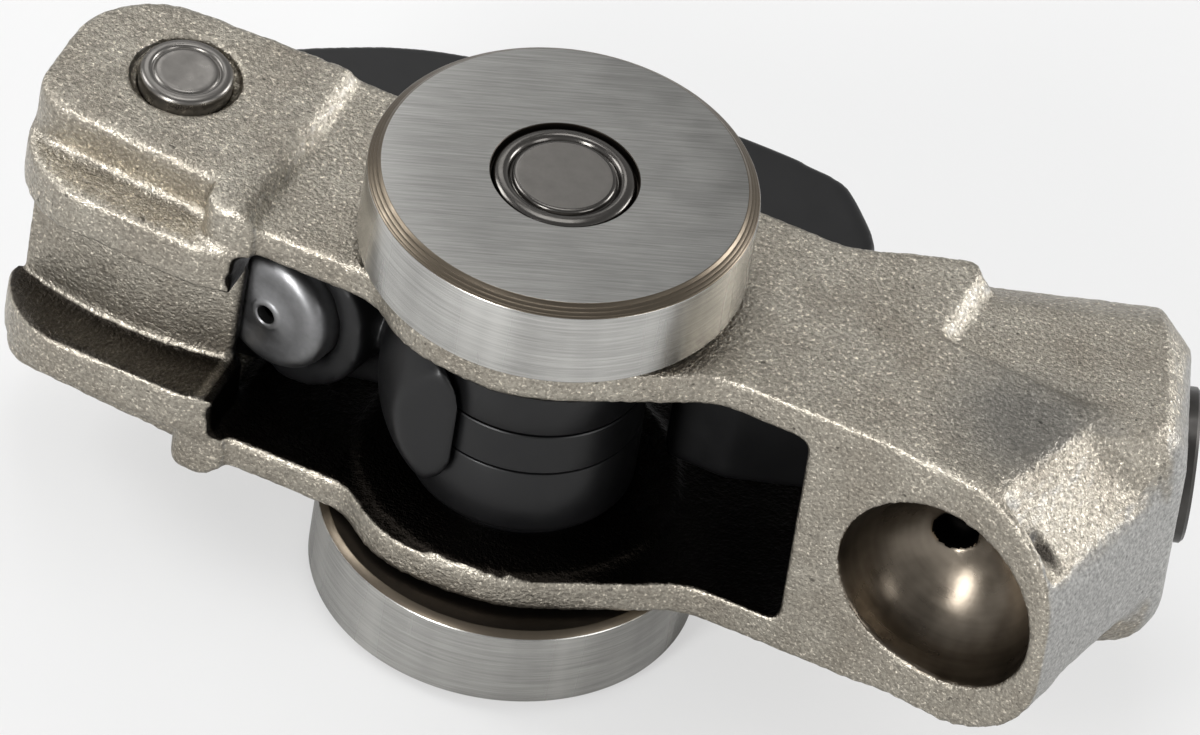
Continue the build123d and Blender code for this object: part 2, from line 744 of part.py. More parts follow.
# Latch spring round the nose
latch_spring_start = LATCH_BACK + PISTON_LENGTH
latch_spring_length = NOSE_BORE_DEPTH - latch_spring_start
with BuildPart() as latch_spring:
    with BuildLine():
        latch_coil = Helix(
            pitch=(latch_spring_length - 0.6) / 3,
            height=latch_spring_length - 0.6,
            radius=2.68,
            center=(LATCH_X - lx * (NOSE_BORE_DEPTH - 0.3), LATCH_Y - ly * (NOSE_BORE_DEPTH - 0.3), 0),
            direction=(lx, ly, 0),
        )
    with BuildSketch(Plane(origin=latch_coil @ 0, z_dir=latch_coil % 0)) as latch_wire:
        RegularPolygon(0.27, 6)
    sweep(is_frenet=True)

latch_spring.part.label = "latch_spring"
export_step(latch_spring.part, "parts/latch_spring.step")

# Latch plug, slightly proud of the end face
with BuildPart() as latch_plug:
    with BuildSketch(latch_plane) as plug:
        Circle(PLUG_R)
    extrude(amount=-PLUG_T)
    chamfer(latch_plug.edges().filter_by(GeomType.CIRCLE).sort_by(Axis.X)[-1], length=0.15)

latch_plug.part.label = "latch_plug"
export_step(latch_plug.part, "parts/latch_plug.step")
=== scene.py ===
import math

import bmesh
import bpy
from bpy.props import FloatProperty, FloatVectorProperty, IntProperty, PointerProperty
from bpy.types import Operator, Panel, PropertyGroup
from mathutils import Matrix, Vector, noise


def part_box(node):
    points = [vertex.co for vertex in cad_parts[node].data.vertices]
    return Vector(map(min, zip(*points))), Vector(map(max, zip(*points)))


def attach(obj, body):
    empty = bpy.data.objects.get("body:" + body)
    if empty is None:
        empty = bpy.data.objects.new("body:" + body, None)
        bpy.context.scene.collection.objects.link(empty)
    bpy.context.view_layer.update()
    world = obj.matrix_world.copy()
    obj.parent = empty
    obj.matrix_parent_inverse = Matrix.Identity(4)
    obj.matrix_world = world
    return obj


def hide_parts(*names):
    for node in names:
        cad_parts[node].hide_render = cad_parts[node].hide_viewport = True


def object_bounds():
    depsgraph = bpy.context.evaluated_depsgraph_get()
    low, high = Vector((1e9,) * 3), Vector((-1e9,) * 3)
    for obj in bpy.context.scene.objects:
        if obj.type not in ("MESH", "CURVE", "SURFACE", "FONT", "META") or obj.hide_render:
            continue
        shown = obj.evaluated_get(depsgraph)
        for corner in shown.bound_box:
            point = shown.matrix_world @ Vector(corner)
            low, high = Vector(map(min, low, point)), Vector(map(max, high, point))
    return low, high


bl_info = {
    "name": "Roller rocker arm",
    "version": (1, 0, 0),
    "blender": (4, 5, 0),
    "location": "View3D > Sidebar > Rocker",
    "description": "Dresses the packed rocker arm in cast, ground and coated steel",
    "category": "Object",
}

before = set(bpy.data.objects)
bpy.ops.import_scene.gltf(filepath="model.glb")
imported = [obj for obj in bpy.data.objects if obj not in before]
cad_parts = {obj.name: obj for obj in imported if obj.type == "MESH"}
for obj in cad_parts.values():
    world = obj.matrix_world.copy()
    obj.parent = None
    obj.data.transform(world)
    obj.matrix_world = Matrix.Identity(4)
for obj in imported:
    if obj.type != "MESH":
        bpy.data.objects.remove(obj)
CAD_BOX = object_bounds()
MM = 0.001

# Places on the casting in mm, close to the CAD's, and how far about them its finish differs
SOCKET = Vector((20.6, -3.65, 0))
SOCKET_RADIUS = 4.75
SHAFT_HOLE_REACH = 4.7
HINGE = (-18.1, 1.0)
HINGE_HOLE_REACH = 2.7
LATCH_LEAN = math.radians(22)
LATCH_POINT = Vector((27.16, 10.3, 0))
LATCH_ALONG = Vector((math.cos(LATCH_LEAN), math.sin(LATCH_LEAN), 0))
LATCH_ACROSS = Vector((-math.sin(LATCH_LEAN), math.cos(LATCH_LEAN), 0))
LATCH_BORE_REACH = 3.6
OIL_HOLE = Vector((19.75, 1.6, 0))
OIL_HOLE_REACH = 1.05
OIL_PASSAGE_ALONG = Vector((5.15, 5.0, 0)).normalized()
OIL_PASSAGE_REACH = 0.82
WINDOW_LEFT = -12.65
WINDOW_RIGHT = 13.6
WINDOW_HALF = 5.43
PAD_HALF = 3.1

# The fold by the socket's collar: its dent and the shade painted in it, and the way it runs
FOLD = Vector((24.7, -2.6, 4.8))
FOLD_REACH = 0.7
FOLD_DEPTH = 0.3
FOLD_SHADE = Vector((24.7, -2.55, 4.8))
FOLD_ALONG = Vector((0.475, 0, -0.88))
FOLD_STRETCH = Vector((0.36, 0, -0.66))

# The belt-dressed patch by the crease: how it is squeezed by axis, and its centre after that
PATCH_SQUEEZE = (0.75, 0.85, 0.8)
PATCH_CENTRE = Vector((16.58, 1.62, 5.3))

# Triangles that the two large skins may keep
CASTING_TRIANGLES = 190000
ARM_TRIANGLES = 150000

# Smoothing passes of the slider arm
ARM_ROUNDING = 14

# Edges that turn by more than this stay sharp
SHARP_ANGLE = math.radians(32)

# Softboxes: name, place in metres, width and height, power
SOFTBOXES = (
    ("front_softbox", (-0.16, -0.64, 0.22), (0.14, 0.44), 3.9),
    ("top_softbox", (-0.1, 0.15, 0.8), (0.35, 0.35), 1.2),
    ("left_softbox", (-0.6, 0.0, 0.4), (0.3, 0.3), 2.0),
    ("back_softbox", (0.55, 0.52, 0.3), (0.28, 0.28), 3.0),
    ("right_softbox", (0.7, -0.2, 0.3), (0.3, 0.3), 1.2),
    ("near_softbox", (-0.1, 0.13, 0.15), (0.08, 0.08), 0.035),
)

# Half the floor's width and its distance under the part, in metres
FLOOR_HALF = 3.0
FLOOR_GAP = 0.02 * MM

# The photograph's camera, solved from the part's outline, in metres and mm of lens
CAMERA_PLACE = (0.2016, -0.5971, 0.5908)
CAMERA_RIGHT = (0.90084, 0.41742, 0.1194)
CAMERA_BACK = (0.2305, -0.6929, 0.6833)
CAMERA_LENS = 600
CAMERA_SENSOR = 36


def linear(hex_colour):
    """An sRGB hex colour as linear red, green and blue."""
    channels = [int(hex_colour[i : i + 2], 16) / 255 for i in (0, 2, 4)]
    return tuple(c / 12.92 if c <= 0.04045 else ((c + 0.055) / 1.055) ** 2.4 for c in channels)


# Sizes and colours


class RockerSizes(PropertyGroup):
    casting_cell: FloatProperty(
        name="Casting cell",
        description="Edge of the cells that the body casting is rebuilt in",
        default=0.15 * MM,
        min=0.1 * MM,
        max=1 * MM,
        precision=5,
        unit="LENGTH",
    )
    casting_rounding: IntProperty(
        name="Casting rounding",
        description="Smoothing passes that give the casting its round edges",
        default=7,
        min=0,
        max=30,
    )
    grain_height: FloatProperty(
        name="Grain height",
        description="Height of the shell-mould grain on the casting",
        default=0.01 * MM,
        min=0,
        max=0.1 * MM,
        precision=6,
        unit="LENGTH",
    )
    arm_cell: FloatProperty(
        name="Arm cell",
        description="Edge of the cells that the slider arm is rebuilt in",
        default=0.16 * MM,
        min=0.1 * MM,
        max=1 * MM,
        precision=5,
        unit="LENGTH",
    )
    turned_steps: IntProperty(
        name="Turned steps",
        description="Facets round a turned piece",
        default=144,
        min=24,
        max=512,
    )
    lay_angle: FloatProperty(
        name="Grinding direction",
        description="Direction of the grinding lines on the rollers' faces",
        default=math.radians(26),
        subtype="ANGLE",
    )


class RockerColours(PropertyGroup):
    casting: FloatVectorProperty(
        name="Casting",
        description="Bare investment-cast steel",
        default=linear("b0aa9e"),
        subtype="COLOR",
        size=3,
        min=0,
        max=1,
    )
    casting_dark: FloatVectorProperty(
        name="Casting, dark",
        description="Hollows and darker patches of the cast skin",
        default=linear("9a9387"),
        subtype="COLOR",
        size=3,
        min=0,
        max=1,
    )
    ground: FloatVectorProperty(
        name="Ground steel",
        description="Ground bearing steel of the rollers",
        default=linear("c9c8c4"),
        subtype="COLOR",
        size=3,
        min=0,
        max=1,
    )
    turned: FloatVectorProperty(
        name="Turned chamfer",
        description="Straw-brown heat tint on the turned chamfers",
        default=linear("6d6458"),
        subtype="COLOR",
        size=3,
        min=0,
        max=1,
    )
    pin: FloatVectorProperty(
        name="Pin steel",
        description="Staked pin and shaft ends",
        default=linear("7d7a76"),
        subtype="COLOR",
        size=3,
        min=0,
        max=1,
    )
    coating: FloatVectorProperty(
        name="Black coating",
        description="Black coating of the slider arm and hub",
        default=linear("0d0d0e"),
        subtype="COLOR",
        size=3,
        min=0,
        max=1,
    )
    cup: FloatVectorProperty(
        name="Drawn steel",
        description="Drawn steel of the spring cup",
        default=linear("8b8b8c"),
        subtype="COLOR",
        size=3,
        min=0,
        max=1,
    )


# Making nodes, pieces and finishes


def add_node(tree, kind, inputs=None, **settings):
    """Adds a shader node, with its settings and its inputs linked or set."""
    made = tree.nodes.new(kind)
    for name, value in settings.items():
        setattr(made, name, value)
    for name, value in (inputs or {}).items():
        if isinstance(value, bpy.types.NodeSocket):
            tree.links.new(value, made.inputs[name])
        else:
            made.inputs[name].default_value = value
    return made


def spread(tree, value, low, high, to_low=0.0, to_high=1.0):
    """Carries a value from one range to another, held at the ends."""
    ends = {0: value, 1: low, 2: high, 3: to_low, 4: to_high}
    return add_node(tree, "ShaderNodeMapRange", ends).outputs[0]


def maths(tree, operation, *values):
    """The outcome of an operation on one to three values."""
    return add_node(tree, "ShaderNodeMath", dict(enumerate(values)), operation=operation).outputs[0]


def vectors(tree, operation, first, second, output=0):
    """The outcome of an operation on two vectors."""
    return add_node(tree, "ShaderNodeVectorMath", {0: first, 1: second}, operation=operation).outputs[output]


def scaled(tree, vector, factor):
    """A vector or colour times a factor."""
    return add_node(tree, "ShaderNodeVectorMath", {0: vector, "Scale": factor}, operation="SCALE").outputs[0]


def blend(tree, share, first, second):
    """Mixes two colours, each a socket or three numbers."""
    ends = [c if isinstance(c, bpy.types.NodeSocket) else (*c, 1) for c in (first, second)]
    return add_node(tree, "ShaderNodeMix", {0: share, 6: ends[0], 7: ends[1]}, data_type="RGBA").outputs[2]


def grain_map(tree, place, size, detail, roughness=0.5):
    """Noise with grains of a size in mm."""
    inputs = {"Vector": place, "Scale": 1 / (size * MM), "Detail": detail, "Roughness": roughness}
    return add_node(tree, "ShaderNodeTexNoise", inputs).outputs["Fac"]


def lines_map(tree, lines, scale, detail, roughness=0.5):
    """Noise on coordinates that a mapping node has already drawn out."""
    inputs = {"Vector": lines, "Scale": scale, "Detail": detail, "Roughness": roughness}
    return add_node(tree, "ShaderNodeTexNoise", inputs).outputs["Fac"]


def drawn_out(tree, place, scale):
    """Coordinates that are scaled by axis, so that a noise on them comes out as lines."""
    return add_node(tree, "ShaderNodeMapping", {"Vector": place, "Scale": scale}).outputs[0]


def bump_map(tree, height, strength, distance):
    """A bump of a height in mm."""
    inputs = {"Height": height, "Strength": strength, "Distance": distance * MM}
    return add_node(tree, "ShaderNodeBump", inputs).outputs[0]


def connect(tree, shader, colour, roughness, bump, metallic=1.0):
    """Links a finish to its shader."""
    for name, socket in (("Base Color", colour), ("Roughness", roughness), ("Normal", bump)):
        tree.links.new(socket, shader.inputs[name])
    shader.inputs["Metallic"].default_value = metallic


def new_material(name):
    """An empty material with its Principled shader and object coordinates."""
    found = bpy.data.materials.get(name)
    if found:
        bpy.data.materials.remove(found)
    material = bpy.data.materials.new(name)
    material.use_nodes = True
    tree = material.node_tree
    tree.nodes.clear()
    shader = add_node(tree, "ShaderNodeBsdfPrincipled")
    add_node(tree, "ShaderNodeOutputMaterial", {"Surface": shader.outputs["BSDF"]})
    place = add_node(tree, "ShaderNodeTexCoord").outputs["Object"]
    return material, tree, shader, place


def new_piece(name, mesh, body, slot, *materials):
    """A scene object for a finished mesh, riding on its body."""
    piece = bpy.data.objects.new(name, mesh)
    bpy.context.scene.collection.objects.link(piece)
    for material in materials:
        mesh.materials.append(material)
    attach(piece, body)
    return piece


def dress(node_name, material):
    """Gives a CAD node that stays its material."""
    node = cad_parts[node_name]
    node.data.materials.clear()
    node.data.materials.append(material)


def skin_mesh(node_name, cell, fills=()):
    """A closed copy of a CAD node's surface in even cells, so that its edges can be rounded."""
    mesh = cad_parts[node_name].data.copy()
    mesh.materials.clear()
    bm = bmesh.new()
    bm.from_mesh(mesh)
    for points in fills:
        corners = [bm.verts.new(Vector(point) * MM) for point in points]
        hull = bmesh.ops.convex_hull(bm, input=corners)
        spare = [v for v in hull["geom_interior"] if isinstance(v, bmesh.types.BMVert)]
        bmesh.ops.delete(bm, geom=spare, context="VERTS")
    bmesh.ops.remove_doubles(bm, verts=bm.verts, dist=0.001 * MM)
    bmesh.ops.recalc_face_normals(bm, faces=bm.faces)
    bm.to_mesh(mesh)
    bm.free()
    return with_modifier(mesh, "REMESH", mode="VOXEL", voxel_size=cell, use_smooth_shade=True)


def smooth(bm, verts, passes):
    """Rounds a skin's edges: each pass moves its vertices half way to their neighbours' middle."""
    for _ in range(passes):
        bmesh.ops.smooth_vert(bm, verts=verts, factor=0.5, use_axis_x=True, use_axis_y=True, use_axis_z=True)


def keep_inside(bm):
    """Holds a skin's vertices within the CAD box."""
    low, high = CAD_BOX
    for v in bm.verts:
        v.co = Vector([min(max(c, a), b) for c, a, b in zip(v.co, low, high)])


def with_modifier(mesh, kind, **settings):
    """The mesh as a modifier leaves it."""
    holder = bpy.data.objects.new("holder", mesh)
    bpy.context.scene.collection.objects.link(holder)
    modifier = holder.modifiers.new("change", kind)
    for name, value in settings.items():
        setattr(modifier, name, value)
    graph = bpy.context.evaluated_depsgraph_get()
    changed = bpy.data.meshes.new_from_object(holder.evaluated_get(graph))
    bpy.data.objects.remove(holder)
    bpy.data.meshes.remove(mesh)
    return changed


def thinned(mesh, most):
    """The mesh with no more than the given number of triangles."""
    count = sum(len(p.vertices) - 2 for p in mesh.polygons)
    return with_modifier(mesh, "DECIMATE", ratio=most / count) if count > most else mesh


def turned_mesh(name, profile, steps, place=None, tint=None):
    """Spins a profile of (radius, height) points in mm round the Z axis, then sets it in place."""
    bm = bmesh.new()
    points = [bm.verts.new((r * MM, 0, h * MM)) for r, h in profile]
    edges = [bm.edges.new((a, b)) for a, b in zip(points, points[1:])]
    if profile[0][0] > 0:
        edges.append(bm.edges.new((points[-1], points[0])))
    bmesh.ops.spin(
        bm,
        geom=points + edges,
        cent=(0, 0, 0),
        axis=(0, 0, 1),
        dvec=(0, 0, 0),
        angle=2 * math.pi,
        steps=steps,
        use_merge=True,
    )
    bmesh.ops.remove_doubles(bm, verts=bm.verts, dist=0.0005 * MM)
    bmesh.ops.recalc_face_normals(bm, faces=bm.faces)
    for face in bm.faces:
        face.smooth = True
        if tint:
            face.material_index = tint(face)
    if place:
        bmesh.ops.transform(bm, matrix=place, verts=bm.verts)
    mesh = bpy.data.meshes.new(name)
    bm.to_mesh(mesh)
    bm.free()
    mesh.set_sharp_from_angle(angle=SHARP_ANGLE)
    return mesh


def upright(high):
    """Nothing for a piece above the middle, and a half turn about X for one below it."""
    return Matrix.Identity(4) if high.z > 0 else Matrix.Rotation(math.pi, 4, "X")


def round_corner(start, corner, end, count=5):
    """Points on a soft curve from start past a corner to end, for a worn edge or a rolled bead."""
    out = []
    for i in range(count + 1):
        t = i / count
        first, middle, last = (1 - t) ** 2, 2 * t * (1 - t), t * t
        out.append(tuple(first * a + middle * b + last * c for a, b, c in zip(start, corner, end)))
    return out


# Materials


def dressed_patch(tree, place, there, side):
    """Share of the belt-dressed patch by the crease, with a ragged border, on the flat sides."""
    squeezed = vectors(tree, "MULTIPLY", there, PATCH_SQUEEZE)
    away = vectors(tree, "DISTANCE", squeezed, PATCH_CENTRE * MM, "Value")
    ragged = grain_map(tree, place, 0.9, 4.0)
    reach = maths(tree, "MULTIPLY_ADD", ragged, 1.6 * MM, away)
    patch = spread(tree, reach, 2.0 * MM, 4.6 * MM, 0.62, 0.0)
    flat = spread(tree, side, 0.82, 0.95)
    return maths(tree, "MULTIPLY", patch, flat)


def window_shade_share(tree, axes, facing, depth):
    """Share of the painted shade inside the window, which the rims under it don't have."""
    inside = spread(tree, depth, WINDOW_HALF * MM, (WINDOW_HALF + 0.07) * MM, 1.0, 0.0)
    left = spread(tree, axes["X"], (WINDOW_LEFT - 0.35) * MM, WINDOW_LEFT * MM)
    right = spread(tree, axes["X"], WINDOW_RIGHT * MM, (WINDOW_RIGHT + 0.25) * MM, 1.0, 0.0)
    between = maths(tree, "MULTIPLY", left, right)
    turned = spread(tree, facing["Y"], -0.92, -0.8)
    pad = maths(tree, "LESS_THAN", depth, PAD_HALF * MM)
    wall = maths(tree, "MAXIMUM", turned, pad)
    return maths(tree, "MULTIPLY", maths(tree, "MULTIPLY", between, wall), inside)


def flange_shade_share(tree, axes, depth, side):
    """Share of painted shade on the inner faces of the guide flanges."""
    level = maths(tree, "COMPARE", depth, 3.2 * MM, 0.3 * MM)
    flat = spread(tree, side, 0.5, 0.8)
    outer = spread(tree, axes["X"], -13.2 * MM, -12.6 * MM, 0.96, 0.0)
    under = spread(tree, axes["Y"], -5.7 * MM, -2.6 * MM, 0.9, 1.0)
    faces = maths(tree, "MULTIPLY", level, flat)
    return maths(tree, "MULTIPLY", faces, maths(tree, "MULTIPLY", outer, under))


def collar_fold_shade(tree, there):
    """Share of the painted shade in the fold by the socket's collar, drawn out along the fold."""
    apart = vectors(tree, "SUBTRACT", there, FOLD_SHADE * MM)
    along = vectors(tree, "DOT_PRODUCT", apart, FOLD_STRETCH, "Value")
    away = vectors(tree, "DISTANCE", apart, scaled(tree, FOLD_ALONG, along), "Value")
    return spread(tree, away, 0.3 * MM, 0.65 * MM, 0.92, 0.0)


def cast_steel(colours):
    """Investment-cast alloy steel, shot-blasted: satin and finely grained, warm grey with a nickel cast, with
    painted shade in its recesses and painted glints on its grain.
    """
    material, tree, shader, place = new_material("investment_cast_steel")
    axes = add_node(tree, "ShaderNodeSeparateXYZ", {0: place}).outputs
    depth = maths(tree, "ABSOLUTE", axes["Z"])
    there = add_node(tree, "ShaderNodeCombineXYZ", {0: axes["X"], 1: axes["Y"], 2: depth}).outputs[0]
    normal = add_node(tree, "ShaderNodeNewGeometry").outputs["Normal"]
    facing = add_node(tree, "ShaderNodeSeparateXYZ", {0: normal}).outputs
    side = maths(tree, "ABSOLUTE", facing["Z"])
    # The end face is paler, the dressed patch greyer, and both are smoother than the rest
    end = spread(tree, facing["X"], 0.7, 0.93)
    dressed = dressed_patch(tree, place, there, side)
    calm = maths(tree, "MAXIMUM", dressed, end)
    kept = spread(tree, calm, 0.0, 1.0, 1.0, 0.25)

    # Grain of 0.17 mm with shot marks of 0.3 mm, coarse on the flat sides and finer on the rims
    grain = grain_map(tree, place, 0.17, 3.0, 0.6)
    cells = {"Vector": place, "Scale": 1 / (0.3 * MM)}
    shot = add_node(tree, "ShaderNodeTexVoronoi", cells, feature="SMOOTH_F1").outputs["Distance"]
    mixed = maths(tree, "MULTIPLY_ADD", shot, 0.3, grain)
    coarse = spread(tree, side, 0.3, 0.8, 0.6, 1.0)
    height = maths(tree, "MULTIPLY", maths(tree, "MULTIPLY", mixed, coarse), kept)
    bump = bump_map(tree, height, 1.0, 0.095)

    # Slow unevenness of 3 mm
    tone = spread(tree, grain_map(tree, place, 3, 4.0, 0.6), 0.3, 0.7)
    colour = blend(tree, tone, colours.casting_dark, colours.casting)
    greyed = blend(tree, dressed, colour, linear("7c7b78"))
    paler = blend(tree, end, greyed, linear("b3b2af"))

    # Hollows of the grain are darker as painted shade, a few pits of 0.4 mm darker still, and specks of 0.15
    # mm brighter as painted glints
    hollow = spread(tree, grain, 0.34, 0.66, 0.66, 1.24)
    pits = spread(tree, grain_map(tree, place, 0.4, 1.0), 0.72, 0.78, 1.0, 0.45)
    specks = spread(tree, grain_map(tree, place, 0.15, 2.0), 0.58, 0.68, 0.0, 1.05)
    lifted = maths(tree, "MULTIPLY_ADD", specks, kept, 1.0)
    shade = maths(tree, "MULTIPLY", maths(tree, "MULTIPLY", hollow, pits), lifted)
    grained = scaled(tree, paler, shade)

    # Painted shade: the window's inside is darkened towards 1c1916
    window_shaded = blend(tree, window_shade_share(tree, axes, facing, depth), grained, linear("1c1916"))
    # Painted shade on the flanges' inner faces and in the fold by the collar, darkened towards 18130f
    painted_recess_shade = maths(tree, "MAXIMUM", flange_shade_share(tree, axes, depth, side), collar_fold_shade(tree, there))
    darkened = blend(tree, painted_recess_shade, window_shaded, linear("18130f"))
    rough = spread(tree, grain, 0.3, 0.7, 0.4, 0.28)
    connect(tree, shader, darkened, rough, bump)
    return material


def smooth_socket():
    """Pressed and lapped socket steel: smooth, dark in the hollow, with a faint ring pattern."""
    material, tree, shader, place = new_material("lapped_socket_steel")
    grain = grain_map(tree, place, 0.2, 3.0)
    bump = bump_map(tree, grain, 0.3, 0.01)
    # Rings of the lapping tool round the socket's axis
    lines = lines_map(tree, drawn_out(tree, place, (120, 2600, 120)), 1.0, 3.0)
    slow = grain_map(tree, place, 2.4, 3.0)
    both = maths(tree, "MULTIPLY_ADD", lines, 0.4, slow)
    tone = spread(tree, both, 0.45, 0.95)
    colour = blend(tree, tone, linear("4f483f"), linear("857c70"))
    rough = spread(tree, tone, 0.0, 1.0, 0.24, 0.34)
    connect(tree, shader, colour, rough, bump)
    return material


def ground_steel(name, light, scale, angle, strength, roughness, reflection_share):
    """Ground bearing steel: bright and satin, with fine lines and scratches along the grinding, and painted
    reflection bands.
    """
    material, tree, shader, place = new_material(name)
    turned = add_node(tree, "ShaderNodeMapping", {"Vector": place, "Rotation": (0, 0, -angle)}).outputs[0]
    lines = drawn_out(tree, turned, scale)
    fine = lines_map(tree, lines, 1.0, 5.0, 0.7)
    marks = lines_map(tree, lines, 2.3, 1.0)
    scratch = spread(tree, marks, 0.66, 0.74, 0.0, 0.3)
    # Soft bands of 2.4 mm, painted reflections of the room
    reflection_bands = lines_map(tree, drawn_out(tree, place, (420, 420, 30)), 1.0, 2.0)
    bump = bump_map(tree, fine, strength, 0.01)
    mixed = maths(tree, "MULTIPLY_ADD", reflection_bands, reflection_share, fine)
    tone = spread(tree, mixed, 0.3 + reflection_share / 2, 0.7 + reflection_share / 2)
    lit = maths(tree, "ADD", tone, scratch)
    colour = blend(tree, lit, light * 0.62, light)
    rough = spread(tree, reflection_bands, 0.3, 0.7, roughness - 0.04, roughness + 0.05)
    connect(tree, shader, colour, rough, bump)
    return material


def plain_steel(name, colour, roughness, grain_mm, strength, metallic=1.0, shine=0.5):
    """Bare or blackened steel with a slight unevenness of the given size."""
    material, tree, shader, place = new_material(name)
    grain = grain_map(tree, place, grain_mm, 4.0, 0.6)
    bump = bump_map(tree, grain, strength, 0.02)
    light = Vector(colour)
    tint = blend(tree, grain, light * 0.7, light * 1.2)
    rough = spread(tree, grain, 0.3, 0.7, roughness + 0.06, roughness - 0.04)
    connect(tree, shader, tint, rough, bump, metallic)
    shader.inputs["Specular IOR Level"].default_value = shine
    return material


# Pieces


def from_line(p, start, along):
    """Distance of a point from a line."""
    arm = p - start
    return (arm - arm.dot(along) * along).length


def body_finished(p):
    """True where the body is machined, so that its edges stay crisp there, in mm."""
    by_shaft = math.hypot(p.x, p.y) < SHAFT_HOLE_REACH
    by_hinge = math.hypot(p.x - HINGE[0], p.y - HINGE[1]) < HINGE_HOLE_REACH
    by_socket = (p - SOCKET).length < SOCKET_RADIUS + 0.2
    by_latch = from_line(p, LATCH_POINT, LATCH_ALONG) < LATCH_BORE_REACH
    return by_shaft or by_hinge or by_socket or by_latch


def nose_corner(p):
    """The nose's corners between the collar and the crease, in mm."""
    return p.x > 20.2 and -2.3 < p.y < 3.2 and abs(p.z) > 0.6


def tower_foot(p):
    """Where the tower's corners run into the nose, in mm."""
    return p.x > 23.5 and 2.2 < p.y < 5.8 and abs(p.z) > 2.4


def ear_corner(p):
    """The lower inner corners of the ears, in mm."""
    return (Vector((p.x, p.y, abs(p.z))) - Vector((-12.4, -5.5, 3.4))).length < 1.0


def flange_corner(p):
    """The inner end corners of the guide flanges, in mm."""
    return abs(p.x + 12.4) < 0.7 and abs(abs(p.z) - 3.4) < 0.8 and p.y < -2.6


def corner_fill(side):
    """Corners in mm of a hull that carries the tower's end corner down into the rounder nose."""
    # The end face leans by this angle about a line across the part at this start
    lean = math.radians(11)
    start_x, start_y = 26.15, -4.2
    # Round corners, the tower's above and the nose's below the crease: radius, place of the middle
    # across the part, and how far the tower's middle and the nose's front lie behind the end face
    tower_radius, tower_depth, tower_back, tower_arc = 3.38, 3.7, 3.4, math.radians(49.5)
    nose_radius, nose_depth, nose_back = 5.6, 1.5, 0.3
    top, bottom, inner = 4.8, 3.3, -4.6
    steps = 6
    points = []
    for i in range(steps + 1):
        turn = tower_arc * i / steps
        across = tower_depth + tower_radius * math.sin(turn)
        above = tower_radius * math.cos(turn) - tower_back
        below = math.sqrt(nose_radius**2 - (across - nose_depth) ** 2) - nose_radius - nose_back
        for level, u in ((top, above), (bottom, below), (top, inner), (bottom, inner)):
            w = (level - start_y + math.sin(lean) * u) / math.cos(lean)
            points.append((start_x + math.cos(lean) * u + math.sin(lean) * w, level, side * across))
    return points


def in_bore(p):
    """True inside the oil hole above the socket and the passage it runs on into, all in mm."""
    # The hole starts above this level, and the passage ends this far from the latch bore's axis
    start_level, bore_side = 0.6, -1.5
    if p.y < start_level or (p - SOCKET).length < SOCKET_RADIUS + 0.04:
        return False
    if (p - LATCH_POINT).dot(LATCH_ACROSS) > bore_side:
        return False
    in_hole = math.hypot(p.x - OIL_HOLE.x, p.z) < OIL_HOLE_REACH
    return in_hole or from_line(p, OIL_HOLE, OIL_PASSAGE_ALONG) < OIL_PASSAGE_REACH


# Where the casting is rounder than elsewhere, and by how many passes
SOFTER_PLACES = ((nose_corner, 140), (tower_foot, 10), (ear_corner, 25), (flange_corner, 20))


def cast_grain(v, grain_height):
    """How far the shell mould's grain and a dent by the collar move a vertex along its normal."""
    flatness = max(abs(v.normal.x), abs(v.normal.y), abs(v.normal.z))
    # Edges are more ragged than faces
    edge = 1 + 4.5 * min(1, max(0, (0.97 - flatness) / 0.1))
    fine = noise.noise(v.co / (0.36 * MM)) * (0.4 + 0.6 * abs(v.normal.z)) * edge
    wave = noise.noise(v.co / (2.4 * MM))
    nearest = Vector((FOLD.x, FOLD.y, math.copysign(FOLD.z, v.co.z)))
    fold = max(0, 1 - (v.co / MM - nearest).length / FOLD_REACH)
    return grain_height * (fine + 1.2 * wave) - FOLD_DEPTH * MM * fold * fold


def casting_finish(p):
    """Index of the casting's material at a point in mm: cast skin, socket or the bore, painted dark as shade.
    """
    in_socket = (p - SOCKET).length < SOCKET_RADIUS + 0.05 and p.y > SOCKET.y - 0.05
    return 2 if in_bore(p) else 1 if in_socket else 0


class ROCKER_OT_casting(Operator):
    """Body casting with round, grainy edges and a smooth socket"""

    bl_idname = "rocker.casting"
    bl_label = "Body casting"

    def execute(self, context):
        sizes = context.scene.rocker_sizes
        mesh = skin_mesh("follower_body", sizes.casting_cell, (corner_fill(1), corner_fill(-1)))
        bm = bmesh.new()
        bm.from_mesh(mesh)
        rough = [v for v in bm.verts if not body_finished(v.co / MM)]
        smooth(bm, bm.verts, 1)
        smooth(bm, rough, sizes.casting_rounding)
        for softer, passes in SOFTER_PLACES:
            smooth(bm, [v for v in rough if softer(v.co / MM)], passes)
        bm.normal_update()
        for v in rough:
            v.co += v.normal * cast_grain(v, sizes.grain_height)
        for face in bm.faces:
            face.material_index = casting_finish(face.calc_center_median() / MM)
            face.smooth = True
        keep_inside(bm)
        bm.to_mesh(mesh)
        bm.free()
        mesh = thinned(mesh, CASTING_TRIANGLES)
        colours = context.scene.rocker_colours
        # Painted shade: the oil hole and its passage are coloured near black
        bore = plain_steel("painted_shade_bore_steel", linear("0c0b0a"), 0.6, 0.5, 0.2)
        finishes = (cast_steel(colours), smooth_socket(), bore)
        piece = new_piece("body_casting", mesh, "body", "cast_steel", *finishes)
        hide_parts("follower_body")
        return {"FINISHED"}


